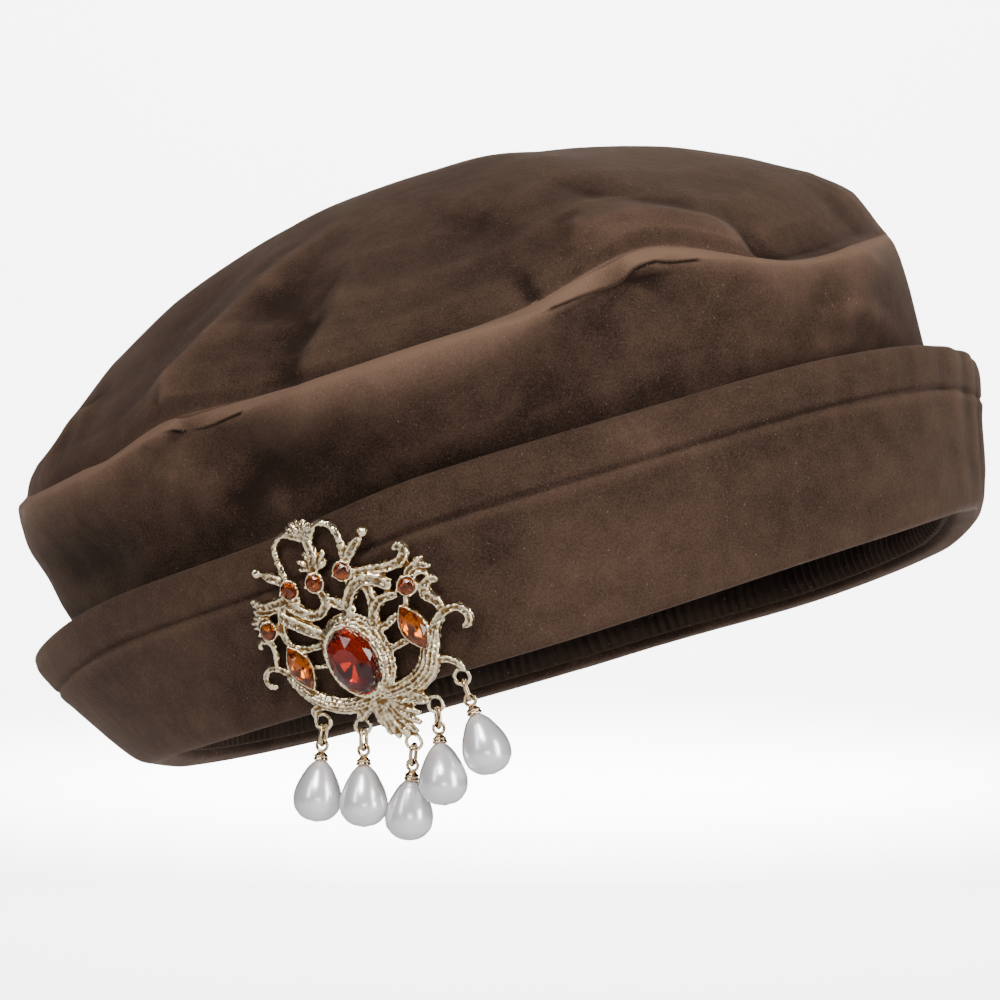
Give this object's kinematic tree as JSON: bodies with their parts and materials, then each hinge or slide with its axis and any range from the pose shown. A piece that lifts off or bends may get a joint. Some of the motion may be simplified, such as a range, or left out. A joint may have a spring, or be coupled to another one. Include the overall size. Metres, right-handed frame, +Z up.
{
  "type": "tudor beret",
  "caption": "Velvet beret with a gathered crown, a deep turned-up cuff and an openwork brooch with pear drops.",
  "frame": {"origin": "middle of the head opening, in the plane of the rim", "axes": "+Z straight up in the picture, +X the viewer's right, the wearer's left; the hat's front faces -Y. The hat is tipped on these axes as it is worn."},
  "size_m": [0.2269, 0.2297, 0.1559],
  "materials": {
    "velvet": "dark brown velvet with a short soft pile",
    "gathered_velvet": "the same velvet, gathered into fine ribs",
    "pale_gold": "pale gold plate, bright on the high places and brown in the recesses",
    "brass_wire": "plain brass wire",
    "red_stone": "cut and polished, foil behind",
    "amber_stone": "cut and polished, foil behind",
    "pearl": "pearl lacquer over a moulded drop"
  },
  "bodies": {
    "root": {"crown_tip": "velvet", "crown_side": "velvet", "cuff": "velvet", "inner_band": "gathered_velvet", "brooch_frame": "pale_gold", "brooch_pin": "brass_wire", "stone_oval": "red_stone", "stone_marquise_left": "amber_stone", "stone_marquise_right": "amber_stone", "stone_round_1": "amber_stone", "stone_round_2": "amber_stone", "stone_round_3": "amber_stone", "stone_round_4": "amber_stone", "stone_round_5": "amber_stone", "link_1": "brass_wire", "cap_1": "brass_wire", "pearl_1": "pearl", "link_2": "brass_wire", "cap_2": "brass_wire", "pearl_2": "pearl", "link_3": "brass_wire", "cap_3": "brass_wire", "pearl_3": "pearl", "link_4": "brass_wire", "cap_4": "brass_wire", "pearl_4": "pearl", "link_5": "brass_wire", "cap_5": "brass_wire", "pearl_5": "pearl"}
  },
  "joints": []
}
